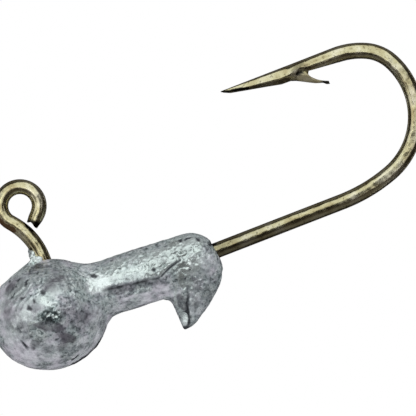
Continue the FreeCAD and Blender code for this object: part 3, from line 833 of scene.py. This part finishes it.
# painted highlights, partly where handling has rubbed the lead bright: on the ball's side,
# the neck, along the collar and on every edge
rub_and_highlight = 0.6 * lip + 1.5 * nick + 1.3 * glints + patches(
    (0.5, 1.15, 0.9, 0.5, 11, 0.2), (0.18, 0.87, 0.5, 0.18, -68, 0.7),
    (-1.4, 0.55, 0.5, 0.4, -30, 0.4), (-1.2, 0.95, 0.35, 0.35, 0, 0.4),
    (-0.4, 0.05, 0.3, 0.22, 0, 0.3), (3.8, 0.76, 0.75, 0.62, 0, 1.0),
    (5.9, 0.5, 1.9, 0.36, -8, 0.5), (6.4, 1.15, 2.5, 0.55, -4, 0.42), (9.0, 0.9, 1.6, 0.7, 0, 0.7),
    (10.0, 0.9, 1.1, 0.75, 0, 0.9), (9.1, -0.9, 0.5, 0.6, 0, 0.6), (0.45, 3.95, 0.55, 0.5, 0, 1.2),
    (0.85, -3.28, 0.65, 0.07, 14, 1.3), (9.9, 0.1, 1.0, 0.7, -111, 0.8),
    (9.2, 0.4, 1.3, 0.75, -10, 0.5), (9.1, -1.2, 0.45, 0.45, 0, 0.8),
    (10.35, -0.15, 0.35, 0.5, 0, 0.7), (8.1, -2.75, 0.12, 0.6, 8, 0.5),
)
# flecks on the light part of the collar, where the crumpled skin mirrors the lamp
rub_and_highlight += 0.8 * edge_line + 0.25 * flecked + flecked * pitted(ragged, 0.36, 0.13, 0.0, 9.7)

# the nippers left the gate smooth, and handling has smoothed the ball's side and the top
# of the collar's end
burnished = patches(
    (-1.35, 0.55, 0.75, 0.95, -25, 0.9), (-0.5, 0.9, 0.6, 0.6, 0, 0.7),
    (-1.7, 2.3, 1.6, 1.1, 40, 0.7), (-2.9, 0.9, 0.9, 1.6, 10, 0.6), (0.6, 1.3, 0.6, 0.4, 10, 0.5),
    (1.3, 1.8, 0.9, 0.8, 0, 0.5), (10.0, 0.9, 1.3, 0.8, 0, 0.45),
)
stain_and_shade += 0.25 * burnished + patches((-1.95, -0.2, 0.5, 0.4, 0, 0.3), (0.9, 1.9, 0.8, 0.5, 0, 0.25))

# the back, which lay against the other half of the mould, is cloudier and less rubbed
behind = ease(y, -0.2, 0.6)
stain_and_shade += 0.5 * behind * ease(rough(points, 1.7, 3, 21.3), 0.05, 0.4)
bloom_and_painted_light += 0.9 * behind * ease(rough(points, 1.9, 3, 33.1), 0.0, 0.4)
rub_and_highlight += 0.5 * behind * ease(rough(points, 1.3, 3, 45.7), 0.25, 0.45)

# painted shade lies in every hollow, beside the fin and under the keeper's tip: the pits,
# the crease, the scratches, the fold, the gap at the wire and the nick's rim
fin_side = at_fin * (1 - ease(np.abs(y), 0.5, 0.9))
shade_under_tip = (x > 7.5) * (1 - ease(z + 0.3 * (x - 8.0), -4.1, -3.9))
painted_shade = pits + crease + scratch + 0.2 * fainter + shadow + at_exit + nick_rim + fin_side + shade_under_tip
for name, amount in (
    ("hollow", painted_shade),
    ("stain_and_shade", np.clip(stain_and_shade, 0, 1) * (1 - 0.5 * np.clip(rub_and_highlight, 0, 1))),
    ("bloom_and_painted_light", np.clip(bloom_and_painted_light, 0, 1) * (1 - np.clip(painted_shade + stain_and_shade, 0, 1))),
    ("rubbed_and_highlit", np.clip(rub_and_highlight, 0, 1) * (1 - np.clip(painted_shade, 0, 1))),
    ("burnished", burnished),
    ("crumpled", crumpled),
):
    note(head.data, name, np.clip(amount, 0, 1))
head.data.transform(Matrix.Translation(Vector(ball_centre)))
to_metres(head.data)
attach(head, "root")
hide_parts("lead_head")

# Cast lead: soft grey metal under a thin skin of oxide. It gives cloudy grey, lilac where
# the oxide is thick and cold white where it is rubbed or a highlight is painted, with
# painted shade in every hollow.
lead, tree = new_material("dull_cast_lead")
place = add(tree, "TexCoord").outputs["Object"]
noted = {
    name: add(tree, "Attribute", attribute_name=name).outputs["Fac"]
    for name in ("hollow", "stain_and_shade", "bloom_and_painted_light", "rubbed_and_highlit", "burnished", "crumpled")
}
# clouds of oxide 1.2 mm across
clouds = add(
    tree,
    "TexNoise",
    {"Vector": place, "Scale": 0.85 / mm, "Detail": 4.0, "Roughness": 0.6},
).outputs["Fac"]
oxide = add(
    tree,
    "ValToRGB",
    {"Fac": clouds},
    stops=((0.36, "#babbc1"), (0.5, "#d2dbdb"), (0.64, "#eaf6f3")),
)
# wrinkles 0.4 mm across, from the skin that the metal froze under
wrinkle = add(
    tree,
    "TexNoise",
    {"Vector": place, "Scale": 2.6 / mm, "Detail": 3.0, "Roughness": 0.5},
).outputs["Fac"]
wrinkle_tone = add(
    tree,
    "ValToRGB",
    {"Fac": wrinkle},
    stops=((0.32, "#868e90"), (0.46, "#d2d8da"), (0.58, "#ffffff")),
)
# mould grain, drawn as coarse as 0.14 mm so that it shows
grit = add(
    tree, "TexNoise", {"Vector": place, "Scale": 7 / mm, "Detail": 1.0, "Roughness": 0.5}
)
grit_tone = add(
    tree, "ValToRGB", {"Fac": grit.outputs["Fac"]}, stops=((0.3, "#7d8483"), (0.5, "#ffffff"))
)
# dark specks 0.2 mm across, where dross froze into the skin
dross = add(
    tree, "TexNoise", {"Vector": place, "Scale": 5.2 / mm, "Detail": 2.0, "Roughness": 0.6}
)
speck_tone = add(
    tree,
    "ValToRGB",
    {"Fac": dross.outputs["Fac"]},
    stops=((0.34, "#55595c"), (0.41, "#c9cecf"), (0.47, "#ffffff")),
)
# the crumpled skin: bright bosses 0.3 mm apart with black creases between them, whose
# dark is painted shade
bend = add(tree, "TexNoise", {"Vector": place, "Scale": 3 / mm, "Detail": 2.0})
bent = add(
    tree,
    "VectorMath",
    {0: bend.outputs["Color"], 1: (0.4 * mm, 0.4 * mm, 0.4 * mm), 2: place},
    operation="MULTIPLY_ADD",
)
creases = add(tree, "TexVoronoi", {"Vector": bent.outputs[0], "Scale": 3.3 / mm})
painted_crease_shade = add(
    tree,
    "ValToRGB",
    {"Fac": creases.outputs["Distance"]},
    stops=((0.24, "#ffffff"), (0.4, "#a4abac"), (0.58, "#5f6668")),
)
# burnishing smooths the wrinkles, and both it and the chalky bloom with its painted light
# hide the specks
left_rough = add(
    tree, "Math", {0: noted["burnished"], 1: -0.65, 2: 1.0}, operation="MULTIPLY_ADD"
).outputs[0]
unhidden = add(tree, "Math", {0: noted["bloom_and_painted_light"], 1: -0.4, 2: 0.6}, operation="MULTIPLY_ADD")
specked = add(
    tree, "Math", {0: unhidden.outputs[0], 1: left_rough}, operation="MULTIPLY"
).outputs[0]
# what lies over the oxide, from the skin itself out to the painted shade in the hollows:
# where it lies, how strongly, its colour, and how the two blend. The stains hold some
# painted shade, the bloom some painted light, the rubbed layer painted highlights and the
# crumpled layer painted shade in its creases
tone = oxide.outputs["Color"]
for where, strength, colour, how in (
    (left_rough, 0.8, wrinkle_tone.outputs["Color"], "MULTIPLY"),
    (specked, 1.0, grit_tone.outputs["Color"], "MULTIPLY"),
    (specked, 1.0, speck_tone.outputs["Color"], "MULTIPLY"),
    (noted["stain_and_shade"], 0.8, paint("#504c55"), "MIX"),
    (noted["bloom_and_painted_light"], 0.5, paint("#dfdbe2"), "MIX"),
    (noted["rubbed_and_highlit"], 0.8, paint("#eefaf7"), "MIX"),
    (noted["crumpled"], 1.0, painted_crease_shade.outputs["Color"], "MULTIPLY"),
    (noted["hollow"], 0.97, paint("#2e3136"), "MIX"),
):
    share = add(tree, "Math", {0: where, 1: strength}, operation="MULTIPLY").outputs[0]
    laid = {"Factor": share, 6: tone, 7: colour}
    tone = add(tree, "Mix", laid, data_type="RGBA", blend_type=how).outputs[2]
# where the oxide is thin or rubbed off, and under the painted highlights, the metal mirrors
# more sharply
metal = add(
    tree,
    "MapRange",
    {"Value": clouds, "From Min": 0.4, "From Max": 0.62, "To Min": 0.4, "To Max": 0.6},
).outputs["Result"]
for name, change in (("rubbed_and_highlit", 0.3), ("bloom_and_painted_light", -0.35), ("hollow", -0.45)):
    metal = add(
        tree, "Math", {0: noted[name], 1: change, 2: metal}, operation="MULTIPLY_ADD"
    ).outputs[0]
# dents 0.25 mm across in the frozen skin
dents = add(tree, "TexVoronoi", {"Vector": place, "Scale": 4 / mm})
relief = add(
    tree,
    "Mix",
    {"Factor": 0.4, 2: wrinkle, 3: dents.outputs["Distance"]},
    data_type="FLOAT",
)
grain_bump = add(
    tree,
    "Bump",
    {"Strength": left_rough, "Distance": 0.11 * mm, "Height": relief.outputs[0]},
)
crush_bump = add(
    tree,
    "Bump",
    {
        "Strength": noted["crumpled"],
        "Distance": 0.12 * mm,
        "Height": creases.outputs["Distance"],
        "Normal": grain_bump.outputs["Normal"],
    },
    invert=True,
)
# the hollows of the wrinkles are duller than their crests
dull = add(
    tree,
    "MapRange",
    {"Value": wrinkle, "From Min": 0.35, "From Max": 0.65, "To Min": 0.42, "To Max": 0.22},
)
shader = add(
    tree,
    "BsdfPrincipled",
    {
        "Base Color": tone,
        "Metallic": metal,
        "Roughness": dull.outputs["Result"],
        "Normal": crush_bump.outputs["Normal"],
    },
)
add(tree, "OutputMaterial", {"Surface": shader.outputs["BSDF"]})
head.data.materials.clear()
head.data.materials.append(lead)


# --- Studio ---------------------------------------------------------------------------
# The jig hangs level above a pale table, under one large soft box in front and above.
# Cards that show only in reflections give the polished wire its dark edges.
up = Vector((math.sin(shank_climb), 0, math.cos(shank_climb)))
right = Vector((math.cos(shank_climb), 0, -math.sin(shank_climb)))
front = Vector((0, -1, 0))


def toward(elevation, sideways=0.0):
    """The way from the jig to a place round it: 0 is the lens, 90 above, -90 below."""
    a, e = math.radians(sideways), math.radians(elevation)
    return (front * math.cos(e) + up * math.sin(e)) * math.cos(a) + right * math.sin(a)


def sheet(name, way, distance, width, height, material, upright=up):
    """A flat sheet that lies square across a way from the jig."""
    mesh = bpy.data.meshes.new(name)
    w, h = width / 2, height / 2
    mesh.from_pydata([(-w, -h, 0), (w, -h, 0), (w, h, 0), (-w, h, 0)], [], [(0, 1, 2, 3)])
    mesh.materials.append(material)
    made = shown(name, mesh)
    side = upright.cross(way).normalized()
    turn = Matrix((side, way.cross(side), way)).transposed().to_4x4()
    made.matrix_world = Matrix.Translation(aim + way * distance) @ turn
    return made


# Paper: matt and slightly uneven. Its fibres lie in pale clouds 10 mm across
table_size, table_drop = 4.0, 0.2
paper, tree = new_material("pale_table_paper")
fibres = add(tree, "TexNoise", {"Scale": table_size / (10 * mm), "Detail": 4.0})
pulp = add(
    tree, "ValToRGB", {"Fac": fibres.outputs["Fac"]}, stops=((0.3, "#e2e1e4"), (0.7, "#e9e8ea"))
)
shader = add(tree, "BsdfPrincipled", {"Base Color": pulp.outputs["Color"], "Roughness": 0.9})
add(tree, "OutputMaterial", {"Surface": shader.outputs["BSDF"]})
sheet("table", Vector((0, 0, 1)), -table_drop, table_size, table_size, paper, front)


def card_shade(name, shade):
    """A card that glows with its shade, as a lit card would look, so it reflects as one shade."""
    material, tree = new_material(name)
    glow = add(tree, "Emission", {"Color": paint(shade), "Strength": 1.0})
    add(tree, "OutputMaterial", {"Surface": glow.outputs["Emission"]})
    return material


black = card_shade("black_card", "#322f2e")
dim = card_shade("dim_card", "#4e4946")
grey = card_shade("grey_card", "#636160")
# each card: elevation at its lower and upper edge, its left and right edge, distance, shade
cards = {
    "lens_hood": (-49, 8.5, 0, 24, 0.035, black),
    "camera_body": (-49, -9, -50, 50, 0.036, dim),
    "card_below": (-100, -42, -45, 45, 0.15, grey),
    "card_behind_below": (-140, -100, -45, 45, 0.15, black),
    "card_behind": (135, 220, -50, 50, 0.15, black),
    "card_overhead": (90, 135, -45, 45, 0.15, grey),
    "card_left": (-60, 70, -125, -66, 0.15, black),
    "card_right": (-60, 70, 46, 125, 0.15, black),
    "soft_box_back": (7, 90, -45, 45, 0.25, black),
}
for name, (low, high, left, far_right, distance, shade) in cards.items():
    way = toward((low + high) / 2, (left + far_right) / 2)
    tall = 2 * distance * math.tan(math.radians((high - low) / 2))
    wide = 2 * distance * math.tan(math.radians((far_right - left) / 2))
    card = sheet(name, way, distance, wide, tall, shade)
    card.visible_camera = False
    card.visible_diffuse = False
    card.visible_transmission = False
    card.visible_shadow = False

# the soft box's energy is worked out so that its face glows with the strength given
box_glow, box_distance = 1.0, 0.2
box_data = bpy.data.lights.new("soft_box", "AREA")
box_data.shape = "RECTANGLE"
box_data.size, box_data.size_y = 0.33, 0.25
box_data.energy = box_glow * math.pi * box_data.size * box_data.size_y
box_data.color = (0.97, 1.0, 0.985)
soft_box = bpy.data.objects.new("soft_box", box_data)
box_way = toward(40)
turn = box_way.to_track_quat("Z", "Y").to_matrix().to_4x4()
soft_box.matrix_world = Matrix.Translation(aim + box_way * box_distance) @ turn
bpy.context.scene.collection.objects.link(soft_box)
soft_box.visible_camera = False

# the world lights the jig at a plain level, and is white to the lens, in reflections and
# through anything clear
plain_level, white = (0.88, 0.87, 0.9, 1), (1, 1, 1, 1)
world = bpy.data.worlds.new("white_surround")
bpy.context.scene.world = world
world.use_nodes = True
tree = world.node_tree
tree.nodes.clear()
light = add(tree, "LightPath")
seen = light.outputs["Is Camera Ray"]
for ray in ("Is Glossy Ray", "Is Transmission Ray"):
    seen = add(tree, "Math", {0: seen, 1: light.outputs[ray]}, operation="MAXIMUM").outputs[0]
surround = add(
    tree,
    "Mix",
    {"Factor": seen, 6: plain_level, 7: white},
    data_type="RGBA",
)
background = add(tree, "Background", {"Color": surround.outputs[2], "Strength": 1.0})
add(tree, "OutputWorld", {"Surface": background.outputs["Background"]})
bpy.context.scene.view_settings.view_transform = "Standard"
